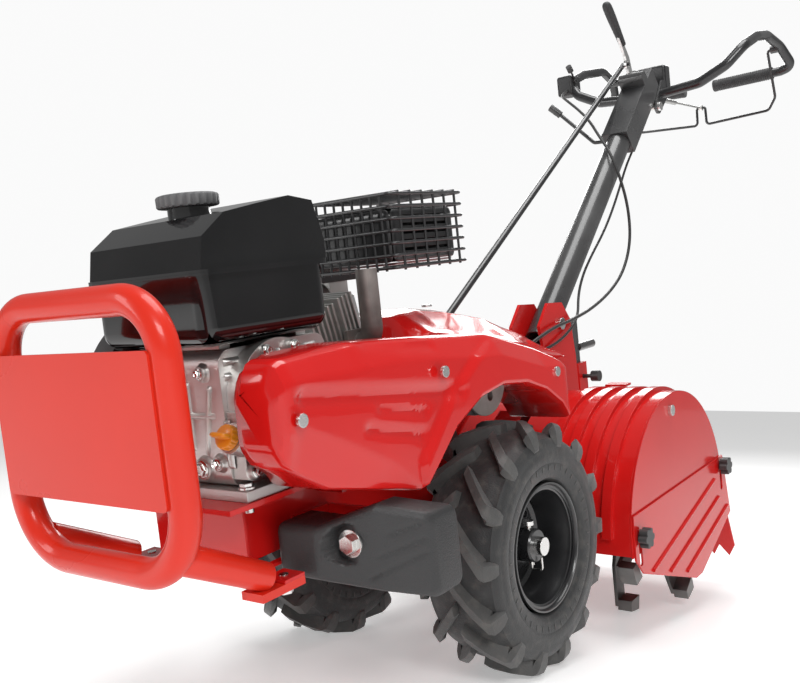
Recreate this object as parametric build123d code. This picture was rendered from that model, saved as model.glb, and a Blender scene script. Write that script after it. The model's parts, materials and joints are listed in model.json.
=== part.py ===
from build123d import *
import math
import os

# Rear-tine walk-behind tiller, in millimetres.
# The machine is drawn level on its engine base: origin on the wheel axle at mid-width,
# +X to the operator's left, +Y to the rear, +Z up.  Each sub-part is then tipped nose-down
# by PITCH about the axle and lifted so that tyres and tines stand on the ground at Z = 0.

# ---- driving dimensions -------------------------------------------------------------
PITCH = 10.0
TYRE_R = 170.0
TYRE_BODY_R = 157.0
TYRE_HALF_W = 57.0
TRACK_X = 171.0
RIM_R = 78.0
RIM_FLANGE_R = 87.0
AXLE_R = 12.5
RUN = 0.05

BUMPER_Y = -526.0
BUMPER_R = 16.0
BUMPER_X = 138.0
BUMPER_TOP = 397.0
BUMPER_BOTTOM = 124.0

BED_Z = 165.0
CRANK_Y = -335.0
CRANK_Z = 271.0
INPUT_Y = -20.0
INPUT_Z = 234.0
BELT_X = 150.0
DRIVE_R = 34.0
DRIVEN_R = 50.0

TINE_Y = 405.0
TINE_Z = -66.0
TINE_R = 175.2
HOOD_R = 205.0
HOOD_X = 247.0
SHEET = 3.0

FLAP_Y = 606.5
FLAP_Z = 2.0
STAKE_X = -40.0
STAKE_Y = 637.0

COLUMN_FOOT = Vector(0, 450, 258)
COLUMN_TOP = Vector(0, 1012, 747)
COLUMN_R = 25.0
GRIP_Y = 1384.0
GRIP_R = 15.0
BAR_R = 11.0
LEVER_X = -36.0
COLUMN_T = 700.0
EAR = 42.0
BAR_Y = 1005.6
BAR_Z = 685.9
PIVOT_Y = 1335.0
PIVOT_Z = 812.0
SHIFT_Y = 1030.0
SHIFT_Z = 770.0
ROD_X = -46.0
ROD_Y = 1015.0
ROD_Z = 795.0
SLEEVE_T = 525.0
LOCK_Y = 862.0
LOCK_Z = 621.0
IDLER_Y = -262.0
IDLER_Z = 172.0

os.makedirs("parts", exist_ok=True)
made = []


# ---- helpers ------------------------------------------------------------------------
def save(name, *shapes):
    """Tip and lift the shapes into the standing pose and write them as one sub-part."""
    solids = []
    for shape in shapes:
        solids += list((Pos(0, 0, TYRE_R) * Rot(PITCH, 0, 0) * shape).solids())
    export_step(solids[0] if len(solids) == 1 else Compound(children=solids), f"parts/{name}.step")
    made.append(name)


def block(x0, x1, y0, y1, z0, z1):
    centre = Pos((x0 + x1) / 2, (y0 + y1) / 2, (z0 + z1) / 2)
    return centre * Box(x1 - x0, y1 - y0, z1 - z0)


def disc_x(radius, x0, x1, y, z):
    """Round bar or disc along X."""
    return Pos((x0 + x1) / 2, y, z) * Rot(0, 90, 0) * Cylinder(radius, x1 - x0)


def bar(start, end, radius, radius_end=None):
    """Round bar between two points, tapering if radius_end is given."""
    start = Vector(*start)
    end = Vector(*end)
    length = (end - start).length
    place = Plane(origin=start, z_dir=end - start)
    low = (Align.CENTER, Align.CENTER, Align.MIN)
    if radius_end is None:
        return place * Cylinder(radius, length, align=low)
    return place * Cone(radius, radius_end, length, align=low)


def flat_x(points, x0, x1):
    """Plate or prism with its outline in the YZ plane, from x0 to x1."""
    outline = make_face(Polyline(*[(y, z) for y, z in points], close=True))
    return extrude(Plane.YZ.offset(x0) * outline, x1 - x0)


def flat_y(points, y0, y1):
    """Plate or prism with its outline in the XZ plane, from y0 to y1."""
    outline = make_face(Polyline(*[(x, z) for x, z in points], close=True))
    return extrude(Plane(origin=(0, y0, 0), x_dir=(1, 0, 0), z_dir=(0, -1, 0)) * outline, y0 - y1)


def pipe(points, radii, radius, bore=0.0):
    """Bent round tube along straight runs joined by arcs."""
    path = FilletPolyline(*points, radius=radii)
    start = Plane(origin=path @ 0, z_dir=path % 0)
    section = Circle(radius) - Circle(bore) if bore else Circle(radius)
    return sweep(start * section, path=path)


def mirrored(shape):
    return mirror(shape, about=Plane.YZ)


def hex_bolt(place, head_r, head_h, shank_r, shank_l, flange_r=0.0):
    """Hexagon bolt with the underside of its head on the plane, head along the normal."""
    bolt = extrude(RegularPolygon(head_r, 6), head_h)
    bolt += Pos(0, 0, -shank_l / 2) * Cylinder(shank_r, shank_l)
    if flange_r:
        bolt += Pos(0, 0, 1.5) * Cylinder(flange_r, 3)
    return place * bolt


# ---- front bumper and chassis -------------------------------------------------------
def bumper():
    top, low, half = BUMPER_TOP, BUMPER_BOTTOM, BUMPER_X
    corners = [
        (0, BUMPER_Y, top), (half, BUMPER_Y, top), (half, BUMPER_Y, low), (0, BUMPER_Y, low),
    ]
    side = pipe(corners, [58, 74], BUMPER_R)
    rail = bar((114, BUMPER_Y + 6, 142), (114, -415, 88), BUMPER_R)
    rail += block(98, 130, -436, -372, 68, 77)
    hole = Pos(114, -388, 72) * Cylinder(5.5, 30)
    half_frame = side + (rail - hole)
    save("bumper_frame", half_frame + mirrored(half_frame))
    front = BUMPER_Y - BUMPER_R
    plate = block(-136, 136, front - 3, front + 0.02, 196, 349)
    save("bumper_plate", fillet(plate.edges().filter_by(Axis.Y), 6))


def engine_bed():
    top = block(-100, 100, -440, -175, BED_Z - 6, BED_Z)
    for x in (-84, 84):
        for y in (-398, -268):
            top -= Pos(x, y, BED_Z) * Cylinder(5.2, 30)
    outline = [(-396, 90), (-396, BED_Z - 6), (-60, BED_Z - 6), (64, 60), (64, -50), (-40, -50), (-150, 90)]
    cheek = flat_x(outline, 60, 66)
    cheek -= disc_x(38.05, 50, 70, 0, 0)
    arm = block(65, 178, -262, -256, 82, 122) + block(65, 72, -320, -256, 82, 122)
    arm -= Pos(160, -259, 101) * Rot(90, 0, 0) * Cylinder(6.2, 20)
    idler_post = block(65, 105, -270, -254, 140, 150) + block(98, 105, -270, -254, 140, 178)
    idler_post += block(98, 122, -270, -254, 164, 178) + disc_x(6, 110, 133, IDLER_Y, IDLER_Z)
    frame = top + cheek + mirrored(cheek) + arm + mirrored(arm) + idler_post
    save("engine_bed", frame)


def crossbeam():
    channel = block(-76, 76, -402.2, -398.2, 77, 153)
    channel += block(-76, -66.2, -398.2, -340, 149, 153) + block(66.2, 76, -398.2, -340, 149, 153)
    channel += block(-76, -66.2, -398.2, -340, 77, 81) + block(66.2, 76, -398.2, -340, 77, 81)
    channel += block(-66.2, 66.2, -398.2, -396.4, 77, 153)
    tongue = block(98, 130, -402.2, -372, 77, 81) + block(60, 98, -402.2, -392, 77, 81)
    tongue -= Pos(114, -388, 72) * Cylinder(5.5, 30)
    channel += tongue + mirrored(tongue)
    save("front_crossbeam", channel)


def weight():
    """Cast block that sweeps back from the crossbeam to in front of its wheel."""
    stations = [
        (84, -366, -304, 68, 130), (130, -352, -290, 61, 124),
        (185, -312, -264, 42, 142), (232, -270, -214, 26, 122),
    ]
    sections = []
    for x, y0, y1, z0, z1 in stations:
        corner = 9
        face = Pos((y0 + y1) / 2, (z0 + z1) / 2) * RectangleRounded(y1 - y0, z1 - z0, corner)
        sections.append(Plane.YZ.offset(x) * face)
    body = loft(sections, ruled=True)
    bore = Pos(160, -300, 101) * Rot(90, 0, 0) * Cylinder(6.6, 160)
    recess = Pos(160, -349, 101) * Rot(90, 0, 0) * Cylinder(21, 50)
    return body - bore - recess


def weights():
    save("front_weights", weight(), mirrored(weight()))
    bolt = hex_bolt(Plane(origin=(160, -324, 101), z_dir=(0, -1, 0)), 11, 10, 6, 80, 16)
    washer = Pos(160, -253.9, 101) * Rot(90, 0, 0) * (Cylinder(13, 4) - Cylinder(6, 4))
    screw = hex_bolt(Plane(origin=(114, -388, 68), z_dir=(0, 0, -1)), 9, 7, 5.3, 14)
    plate_bolt = disc_x(9, HOOD_X + 3.3, HOOD_X + 9, 388, 112) + disc_x(5, HOOD_X + 0.2, HOOD_X + 4, 388, 112)
    group = []
    for shape in (bolt, washer, screw, plate_bolt):
        group += [shape, mirrored(shape)]
    for x in (-84, 84):
        for y in (-398, -268):
            place = Plane(origin=(x, y, BED_Z + 12), z_dir=(0, 0, 1))
            group.append(hex_bolt(place, 8, 7, 5.1, 26, 10))
    foot_bolt = disc_x(6, -36.6, 36.6, COLUMN_FOOT.Y, COLUMN_FOOT.Z)
    head_bolt = disc_x(6, -40, 40, BAR_Y, BAR_Z)
    for side in (-1, 1):
        foot_bolt += disc_x(11, *sorted((side * 31.8, side * 36.6)), COLUMN_FOOT.Y, COLUMN_FOOT.Z)
        head_bolt += disc_x(10, *sorted((side * 33.4, side * 40)), BAR_Y, BAR_Z)
    shift_bolt = disc_x(5, -45, -16, SHIFT_Y, SHIFT_Z) + disc_x(8, -45, -39.6, SHIFT_Y, SHIFT_Z)
    shift_bolt += disc_x(7, -33, -28.2, SHIFT_Y, SHIFT_Z) + disc_x(8, -21.8, -16, SHIFT_Y, SHIFT_Z)
    save("frame_bolts", *group, foot_bolt, head_bolt, shift_bolt)


# ---- engine ---------------------------------------------------------------------------
def crankcase():
    body = block(-72, 70, -405, -232, BED_Z + 12, 330)
    body = fillet(body.edges().filter_by(Axis.X), 18)
    foot = block(-96, 96, -410, -255, BED_Z + 0.2, BED_Z + 12)
    for x in (-84, 84):
        for y in (-398, -268):
            foot -= Pos(x, y, BED_Z + 6) * Cylinder(5.2, 20)
    arms = block(-60, 60, -392, -376, 330, 336) + block(-60, 60, -270, -254, 330, 336)
    body -= block(-64, 62, -396, -240, 186, 322)
    boss = bar((84, -380, 222), (84, -412, 236), 17)
    cover = disc_x(64, 70.2, 92, CRANK_Y, CRANK_Z) + block(70.2, 92, -402, -262, 188, 262)
    cover -= disc_x(12.06, 60, 100, CRANK_Y, CRANK_Z)
    for step in range(8):
        angle = math.radians(22.5 + 45 * step)
        y = CRANK_Y + 57 * math.cos(angle)
        z = CRANK_Z + 57 * math.sin(angle)
        cover += disc_x(6, 92, 97, y, z)
    body -= disc_x(12.06, 40, 100, CRANK_Y, CRANK_Z)
    boss -= block(0, 70.2, -430, -370, 180, 300)
    cover += boss
    cover -= bar((84, -388, 225.2), (84, -418, 238.63), 9.06)
    save("crankcase", body + foot + arms)
    save("crankcase_cover", cover)


def cylinder_axis():
    tilt = math.radians(14)
    return Plane(origin=(0, -232, 300), x_dir=(1, 0, 0), z_dir=(0, math.cos(tilt), math.sin(tilt)))


def cylinder_and_head():
    axis = cylinder_axis()
    barrel = Pos(0, 0, 31) * Cylinder(40, 60)
    for step in range(6):
        barrel += Pos(0, 0, 10 + step * 9) * Box(104, 96, 3.4)
    save("cylinder", axis * barrel - block(-200, 200, -300, -231.8, 200, 400))
    head = Pos(0, 0, 75) * Box(84, 78, 26)
    for step in range(4):
        head += Pos(0, 0, 64.4 + step * 8.4) * Box(112, 104, 3.4)
    head += Pos(48, 14, 78) * Box(16, 30, 20)
    save("cylinder_head", axis * head)
    lid = Pos(0, 0, 104) * Box(84, 84, 22)
    lid = fillet(lid.faces().sort_by(Axis.Z)[-1].edges(), 7)
    save("valve_cover", axis * lid)


def exhaust():
    axis = cylinder_axis()
    port = axis.from_local_coords(Vector(56.2, 14, 78))
    points = [port, port + Vector(26, 0, 0), port + Vector(26, 0, 94)]
    tube = pipe(points, [20], 14, 11)
    flange = Plane(origin=port, z_dir=(1, 0, 0)) * (Pos(0, 0, 3) * (Box(36, 52, 6) - Cylinder(11, 6)))
    save("exhaust_pipe", tube + flange)
    base_z = port.Z + 94.1
    can = block(-46, 92, -104, 46, base_z, base_z + 78)
    can = fillet(can.edges(), 12)
    can -= block(-43, 89, -101, 43, base_z + 3, base_z + 75)
    for step in range(5):
        can -= block(88, 96, -84, 26, base_z + 18 + step * 11, base_z + 22 + step * 11)
    save("muffler", can)
    return port, base_z


def guard(base_z):
    x0, x1, y0, y1 = -52.0, 102.0, -112.0, 54.0
    levels = [base_z - 3 + 16 * step for step in range(7)]
    top = levels[-1]
    cage = block(-12, 12, y1 - 7.9, y1 + 1, base_z + 30, base_z + 50)
    for z in levels:
        run = [(x0, y1, z), (x1, y1, z), (x1, y0, z), (x0, y0, z)]
        cage += pipe(run, [8, 8], 2.2)
    for step in range(9):
        x = x0 + 8 + step * 16
        cage += bar((x, y0 + 0.4, levels[0] - 4), (x, y0 + 0.4, top + 1), 1.8)
        cage += bar((x, y0, top + 0.5), (x, y1, top + 0.5), 1.8)
    for step in range(6):
        y = y0 + 18 + step * 26
        cage += bar((x1 - 0.4, y, levels[0] - 4), (x1 - 0.4, y, top + 1), 1.8)
        cage += bar((x1, y, top + 2.6), (x0, y, top + 2.6), 1.9)
    save("muffler_guard", cage)


def far_side_of_engine():
    shroud = disc_x(108, -128, -72.2, CRANK_Y, CRANK_Z) - disc_x(104, -124, -72, CRANK_Y, CRANK_Z)
    shroud -= block(-140, -60, -500, -100, 100, BED_Z + 21)
    shroud -= block(-90.4, -60, -460, -231, 335.6, 420)
    shroud -= disc_x(60, -140, -120, CRANK_Y, CRANK_Z)
    pan = disc_x(84, -158, -128.1, CRANK_Y, CRANK_Z) - disc_x(79, -154, -128, CRANK_Y, CRANK_Z)
    for step in range(16):
        angle = math.radians(22.5 * step)
        y = CRANK_Y + 52 * math.cos(angle)
        z = CRANK_Z + 52 * math.sin(angle)
        pan -= disc_x(6, -170, -140, y, z)
    spout = block(-156, -132, CRANK_Y - 104, CRANK_Y - 78, CRANK_Z + 14, CRANK_Z + 38)
    pan += spout
    pan -= bar((-144, CRANK_Y - 60, CRANK_Z + 26), (-144, CRANK_Y - 110, CRANK_Z + 26), 3)
    save("blower_housing", shroud, pan)
    pull = block(-150, -138, CRANK_Y - 120, CRANK_Y - 104.3, CRANK_Z - 8, CRANK_Z + 60)
    pull = fillet(pull.edges().filter_by(Axis.Z), 5)
    cord = bar((-144, CRANK_Y - 103.4, CRANK_Z + 26), (-144, CRANK_Y - 105, CRANK_Z + 26), 2.2)
    save("starter_grip", pull + cord)
    filter_box = block(-138, -58, -96, 6, 384, 468)
    filter_box = fillet(filter_box.edges().filter_by(Axis.Z), 14)
    save("air_cleaner", filter_box - block(-135, -61, -93, 3, 387, 465))
    neck = bar((-80, -120, 340), (-80, -45, 372), 19) + block(-100, -60, -66, -26, 350, 383.9)
    neck -= block(-56.5, 60, -200, 100, 200, 500) + block(-200, 60, -200, 100, 383.8, 500)
    save("carburettor", neck)


def tank():
    x0, x1, y0, y1 = -98.0, 110.0, -448.0, -240.0
    seam = 415.0
    lower = block(x0 + 8, x1 - 8, y0 + 8, y1 - 8, 336.2, seam)
    lower = fillet(lower.edges().filter_by(Axis.Z) + lower.faces().sort_by(Axis.Z)[0].edges(), 20)
    lower += fillet(block(x0, x1, y0, y1, seam - 3, seam).edges().filter_by(Axis.Z), 24)
    lower -= block(x0 + 14, x1 - 14, y0 + 14, y1 - 14, 340, seam + 1)
    side = [
        (y0 + 8, seam + 3), (y0 + 14, 452), (y0 + 48, 476), (-352, 484), (-300, 492),
        (-262, 486), (y1 - 8, 440), (y1 - 8, seam + 3),
    ]
    upper = flat_x(side, x0 + 8, x1 - 8)
    upper += fillet(block(x0, x1, y0, y1, seam + 0.1, seam + 3).edges().filter_by(Axis.Z), 24)
    inner = [(y0 + 14, seam), (y0 + 18, 450), (y0 + 50, 472), (-350, 480), (-300, 488), (-264, 482),
             (y1 - 14, 438)]
    upper -= flat_x(inner + [(y1 - 14, seam)], x0 + 12, x1 - 12)
    neck = Pos(6, -364, 484) * Cylinder(24, 12)
    save("fuel_tank", lower, upper + neck)
    cap = Pos(6, -364, 498) * Cylinder(36, 15)
    for step in range(18):
        angle = math.radians(20 * step)
        cap -= Pos(6 + 37 * math.cos(angle), -364 + 37 * math.sin(angle), 498) * Cylinder(2.6, 20)
    save("fuel_cap", cap)


def filler_plug():
    head = bar((84, -412.3, 236.09), (84, -426, 242.22), 14)
    stem = bar((84, -392, 227), (84, -413, 236.4), 8.98)
    ears = Plane(origin=(84, -426, 242.22), z_dir=(0, -21, 9.4)) * (Pos(0, 0, 4) * Box(24, 6, 8))
    save("oil_filler_plug", head + stem + ears)


# ---- belt drive --------------------------------------------------------------------------
def grooved_pulley(rim_r, y, z, bore):
    """V-belt pulley on X, its belt seat SEAT below the rim."""
    wheel = disc_x(rim_r, BELT_X - 10, BELT_X + 10, y, z)
    ring = disc_x(rim_r + 5, BELT_X - 6.5, BELT_X + 6.5, y, z)
    ring -= disc_x(rim_r - 9, BELT_X - 7, BELT_X + 7, y, z)
    return wheel - ring - disc_x(bore, BELT_X - 20, BELT_X + 20, y, z)


def belt_drive():
    save("crankshaft", disc_x(12, 48, 168, CRANK_Y, CRANK_Z) + disc_x(24, 48, 58, CRANK_Y, CRANK_Z))
    save("engine_pulley", grooved_pulley(DRIVE_R, CRANK_Y, CRANK_Z, 12))
    save("input_shaft", disc_x(11, 14, 161, INPUT_Y, INPUT_Z))
    wheel = grooved_pulley(DRIVEN_R, INPUT_Y, INPUT_Z, 11)
    for step in range(5):
        angle = math.radians(72 * step)
        wheel -= disc_x(7, 130, 170, INPUT_Y + 26 * math.cos(angle), INPUT_Z + 26 * math.sin(angle))
    save("driven_pulley", wheel)

    def band(grow):
        small = Pos(CRANK_Y, CRANK_Z) * Circle(DRIVE_R - 8.6 + grow)
        large = Pos(INPUT_Y, INPUT_Z) * Circle(DRIVEN_R - 8.6 + grow)
        return make_hull(small.edges() + large.edges())

    belt = extrude(Plane.YZ.offset(BELT_X - 6) * (band(7) - band(0)), 12)
    save("drive_belt", belt)
    roller_y = IDLER_Y + 32
    roller_z = IDLER_Z + 34
    arm = flat_x([(-267, 177), (-257, 167), (-225, 201), (-235, 211)], 124, 130)
    arm += disc_x(11, 124, 130, IDLER_Y, IDLER_Z) + disc_x(11, 124, 130, roller_y, roller_z)
    arm -= disc_x(6.05, 110, 140, IDLER_Y, IDLER_Z)
    roller = disc_x(11, 141, 159, roller_y, roller_z) - disc_x(5, 141, 159, roller_y, roller_z)
    save("idler_arm", arm + disc_x(5, 130, 160, roller_y, roller_z), roller)


# ---- covers ---------------------------------------------------------------------------------
COVER_TOP = [(-452, 236), (-450, 296), (-436, 322), (-320, 324), (-200, 314), (-50, 300), (60, 266), (126, 236)]
COVER_ARCH = [(123, 151), (104, 176), (62, 203), (10, 222), (-50, 230), (-105, 223), (-166, 197), (-212, 160)]
COVER_DEEP = [(123, 151), (104, 176), (-70, 177), (-130, 172), (-200, 150)]
COVER_LOW = [(-238, 140), (-375, 176), (-440, 216)]


def covers():
    outer = make_face(Polyline(*COVER_TOP, *COVER_ARCH, *COVER_LOW, close=True))
    inner = make_face(Polyline(*COVER_TOP, *COVER_DEEP, *COVER_LOW, close=True))
    shell = extrude(Plane.YZ.offset(150) * outer, 58)
    shell = chamfer(shell.faces().sort_by(Axis.X)[-1].edges(), 6)
    shell += extrude(Plane.YZ.offset(106) * inner, 59)
    shell -= extrude(Plane.YZ.offset(100) * offset(outer, amount=-SHEET), 102)
    shell -= extrude(Plane.YZ.offset(100) * offset(inner, amount=-SHEET), 62)
    save("belt_cover", shell)
    side = [(-92, 300), (-78, 332), (-20, 338), (150, 306), (300, 240), (320, 216), (-92, 216)]
    hood = flat_x(side, -105, 104)
    room = [(-89, 200), (-89, 299), (-76, 329), (-20, 335), (149, 303), (298, 238), (316, 215), (316, 200)]
    hood -= flat_x(room, -102, 101)
    hood -= block(ROD_X - 11, ROD_X + 11, 162, 204, 262, 330)
    hood -= disc_x(16, 98, 110, INPUT_Y, INPUT_Z) + block(98, 110, INPUT_Y - 16, INPUT_Y + 16, 200, INPUT_Z)
    hood -= block(-30, 30, 280, 330, 210, 260)
    save("top_cover", hood)
    screws = []
    for y, z in ((-430, 262), (-183, 270), (90, 226)):
        head = disc_x(7, 208.1, 212, y, z)
        screws.append(head)
    for x in (-90, 90):
        screws.append(Pos(x, -40, 338.1 + 1.6) * Cylinder(7, 3))
    save("cover_screws", *screws)


# ---- running gear ------------------------------------------------------------------------------
def gear_case():
    case = flat_x([(-62, -44), (-70, 150), (-66, 284), (30, 284), (60, 200), (110, 80), (330, 30), (405, -30),
                   (405, -102), (330, -112), (110, -60)], -29, 29)
    case += disc_x(37.9, -104, 104, 0, 0) + disc_x(58, -34, 34, TINE_Y, TINE_Z)
    case += disc_x(26, 29, 44, INPUT_Y, INPUT_Z)
    case -= disc_x(AXLE_R + RUN, -120, 120, 0, 0)
    case -= disc_x(14 + RUN, -60, 60, TINE_Y, TINE_Z)
    case -= disc_x(11 + RUN, 12, 60, INPUT_Y, INPUT_Z)
    case -= block(29.5, 70, -420, -60, 0, 300)
    save("gear_case", case)


def wheel(side):
    def spin(points):
        face = make_face(Polyline(*points, close=True))
        return revolve(Plane.XY * face, axis=Axis.X)

    w = TYRE_HALF_W
    rim = spin([(-w + 6, RIM_R - 6), (-w + 6, RIM_FLANGE_R), (-w + 10, RIM_FLANGE_R), (-w + 10, RIM_R),
                (w - 10, RIM_R), (w - 10, RIM_FLANGE_R), (w - 6, RIM_FLANGE_R), (w - 6, RIM_R - 6)])
    disc = disc_x(RIM_R - 4, -14, -8, 0, 0)
    for step in range(5):
        angle = math.radians(72 * step + 36)
        disc -= disc_x(9, -20, 0, 50 * math.cos(angle), 50 * math.sin(angle))
    hub = disc_x(23, -46, 34, 0, 0)
    rim = rim + disc + hub - disc_x(AXLE_R, -60, 60, 0, 0)
    rim -= Pos(22, 0, 0) * Cylinder(4, 60)
    tyre = spin([(-w + 10.2, RIM_R), (-w + 10.2, RIM_FLANGE_R + 3), (-w + 3, RIM_FLANGE_R + 10), (-w, 118),
                 (-w + 4, 140), (-w + 16, TYRE_BODY_R - 4), (0, TYRE_BODY_R), (w - 16, TYRE_BODY_R - 4),
                 (w - 4, 140), (w, 118), (w - 3, RIM_FLANGE_R + 10), (w - 10.2, RIM_FLANGE_R + 3),
                 (w - 10.2, RIM_R)])
    tyre -= spin([(-w + 17, RIM_R), (-w + 17, 130), (-w + 26, 142), (w - 26, 142), (w - 17, 130),
                  (w - 17, RIM_R)])
    lug = Pos(29, 0, (TYRE_BODY_R + TYRE_R) / 2 - 3) * Rot(0, 0, 32) * Box(50, 15, TYRE_R - TYRE_BODY_R + 4)
    limit = disc_x(TYRE_R, -w + 1, w - 1, 0, 0)
    lugs = []
    for step in range(14):
        lugs.append(Rot(step * 360 / 14, 0, 0) * lug)
        lugs.append(Rot((step + 0.5) * 360 / 14, 0, 0) * mirrored(lug))
    for item in lugs:
        tyre += item & limit
    place = Pos(TRACK_X, 0, 0)
    if side < 0:
        return mirrored(place * rim), mirrored(place * tyre)
    return place * rim, place * tyre


def wheels():
    axle = disc_x(AXLE_R, -216, 216, 0, 0)
    pins = []
    for side in (-1, 1):
        x = side * (TRACK_X + 22)
        axle -= Pos(x, 0, 0) * Cylinder(4, 60)
        pin = Pos(x, 0, 0) * Cylinder(3.9, 56) + Pos(x, 0, 31) * Cylinder(8, 6)
        ring = [(x, 0, -28), (x, 0, -34), (x + side * 16, 0, -34), (x + side * 16, 0, -16)]
        pins.append(pin + pipe(ring, [2.5, 4], 1.6))
    save("wheel_axle", axle)
    left_rim, left_tyre = wheel(1)
    right_rim, right_tyre = wheel(-1)
    save("wheel_rims", left_rim, right_rim)
    save("tyres", left_tyre, right_tyre)
    save("hub_pins", *pins)


# ---- tines ----------------------------------------------------------------------------------------
def tines():
    save("tine_shaft", disc_x(14, -214, 214, TINE_Y, TINE_Z))
    groups = []
    for side in (1, -1):
        for station in range(3):
            x = 66 + station * 66
            hub = disc_x(24, x - 10, x + 10, 0, 0) + disc_x(56, x - 3, x + 3, 0, 0)
            for step in range(4):
                blade = flat_x([(-13, 38), (13, 38), (22, 100), (6, 170), (-24, 168), (-8, 104)], x + 3, x + 9)
                foot = flat_x([(-24, 150), (8, 158), (8, 180), (-24, 180)], x + 9, x + 34)
                foot = foot & disc_x(TINE_R, x, x + 40, 0, 0)
                turned = Rot(90 * step + 30 * station + 47, 0, 0) * (blade + foot)
                hub += turned
            hub -= disc_x(14, x - 20, x + 60, 0, 0)
            hub = Pos(0, TINE_Y, TINE_Z) * hub
            groups.append(hub if side > 0 else mirrored(hub))
    save("tines", *groups)


# ---- tine hood --------------------------------------------------------------------------------------
def hood():
    ring = disc_x(HOOD_R, -HOOD_X, HOOD_X, TINE_Y, TINE_Z) - disc_x(HOOD_R - SHEET, -260, 260, TINE_Y, TINE_Z)
    ring -= block(-300, 300, TINE_Y, 800, -400, TINE_Z + 72)
    ring -= block(-300, 300, 0, TINE_Y, -400, TINE_Z - 12)
    for x in (104, 140, 176, 212):
        rib = disc_x(HOOD_R + 7, x - 8, x + 8, TINE_Y, TINE_Z)
        rib -= disc_x(HOOD_R - SHEET, x - 9, x + 9, TINE_Y, TINE_Z)
        rib -= block(-300, 300, TINE_Y, 800, -400, TINE_Z + 90)
        rib -= block(-300, 300, 0, TINE_Y, -400, TINE_Z + 14)
        ring += rib + mirrored(rib)
    ring -= flat_x([(100, -160), (100, 120), (330, 120), (408, -8), (470, -66), (408, -140), (330, -140)], -35, 35)
    ring += block(92, 132, 486, 490, 116, 138) + block(92, 132, 486, 510, 134, 138)
    save("tine_hood", ring + hood_fittings())
    arc = disc_x(HOOD_R - 0.2, HOOD_X + 0.2, HOOD_X + 3.2, TINE_Y, TINE_Z)
    upper = arc - block(200, 300, 0, 900, -400, -80)
    upper -= disc_x(5.2, 240, 260, 388, 112)
    for y, z in ((222, -52), (596, -32)):
        upper -= disc_x(5.1, 240, 260, y, z)
    save("side_plates", upper, mirrored(upper))
    low = [(206, -16), (204, -84), (228, -112), (440, -192), (470, -192), (634, -128), (612, -16)]
    lower = flat_x(low, HOOD_X + 3.5, HOOD_X + 6.5)
    for start, end in (((262, -118), (560, -49)), ((330, -142), (574, -85)), ((400, -166), (616, -112))):
        groove = bar((HOOD_X + 7, *start), (HOOD_X + 7, *end), 3)
        lower += groove & block(HOOD_X + 6.4, HOOD_X + 12, 100, 800, -300, 100)
    for y, z in ((222, -52), (596, -32)):
        lower -= disc_x(5.4, 240, 270, y, z) + disc_x(5.4, 240, 270, y, z - 40)
        lower -= block(240, 270, y - 5.4, y + 5.4, z - 40, z)
    save("left_lower_plate", lower)
    save("right_lower_plate", mirrored(lower))
    knobs = []
    for flip in (False, True):
        for y, z in ((222, -52), (596, -32)):
            knob = disc_x(12, HOOD_X + 10.6, HOOD_X + 24, y, z) + disc_x(5, HOOD_X, HOOD_X + 12, y, z)
            knob += disc_x(8, HOOD_X + 7, HOOD_X + 11, y, z)
            for step in range(6):
                angle = math.radians(60 * step)
                lobe_y = y + 11 * math.cos(angle)
                knob += disc_x(5, HOOD_X + 10.6, HOOD_X + 24, lobe_y, z + 11 * math.sin(angle))
            knobs.append(mirrored(knob) if flip else knob)
    save("side_plate_knobs", *knobs)


def hood_fittings():
    """Flap rod with its eyes, and the guide of the depth stake, all welded to the hood."""
    parts = disc_x(3, -244, 244, FLAP_Y, FLAP_Z)
    for x in (-225, -80, 80, 225):
        parts += disc_x(7, x - 8, x + 8, FLAP_Y, FLAP_Z)
        parts += block(x - 8, x + 8, 594, FLAP_Y, FLAP_Z + 1, FLAP_Z + 7)
    guide = block(STAKE_X - 14, STAKE_X + 14, STAKE_Y - 18, STAKE_Y + 18, 92, 158)
    guide -= block(STAKE_X - 5.3, STAKE_X + 5.3, STAKE_Y - 10.3, STAKE_Y + 10.3, 80, 170)
    guide -= disc_x(4.2, STAKE_X, STAKE_X + 40, STAKE_Y, 130)
    strap = block(STAKE_X - 14, STAKE_X + 14, 525, STAKE_Y - 18, 92, 98)
    strap -= disc_x(HOOD_R - 1, -300, 300, TINE_Y, TINE_Z)
    return parts + guide + strap


def flap():
    """Drag flap with a toothed lower edge, hung on a rod behind the hood."""
    length, lean = 262.0, math.radians(22)
    teeth = [(-236, -12), (236, -12)]
    x = 236
    teeth.append((x, -length + 26))
    while x > -236:
        teeth.append((x - 14.75, -length))
        teeth.append((x - 29.5, -length + 26))
        x -= 29.5
    place = Plane(origin=(0, FLAP_Y, FLAP_Z), x_dir=(1, 0, 0), z_dir=(0, -math.cos(lean), -math.sin(lean)))
    sheet = extrude(make_face(Polyline(*teeth, close=True)), 1.5, both=True)
    sheet -= Pos(-40, -80, 0) * Box(46, 150, 10)
    plate = place * sheet
    for start, end in ((-212, -94), (94, 212)):
        curl = disc_x(7, start, end, FLAP_Y, FLAP_Z) - disc_x(3 + RUN, start - 1, end + 1, FLAP_Y, FLAP_Z)
        curl -= disc_x(HOOD_R + 0.5, -300, 300, TINE_Y, TINE_Z)
        middle = (start + end) / 2
        web = place * (Pos(middle, -9.5, 0) * Box(end - start, 7, 3))
        plate += curl + web
    save("rear_flap", plate)


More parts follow.
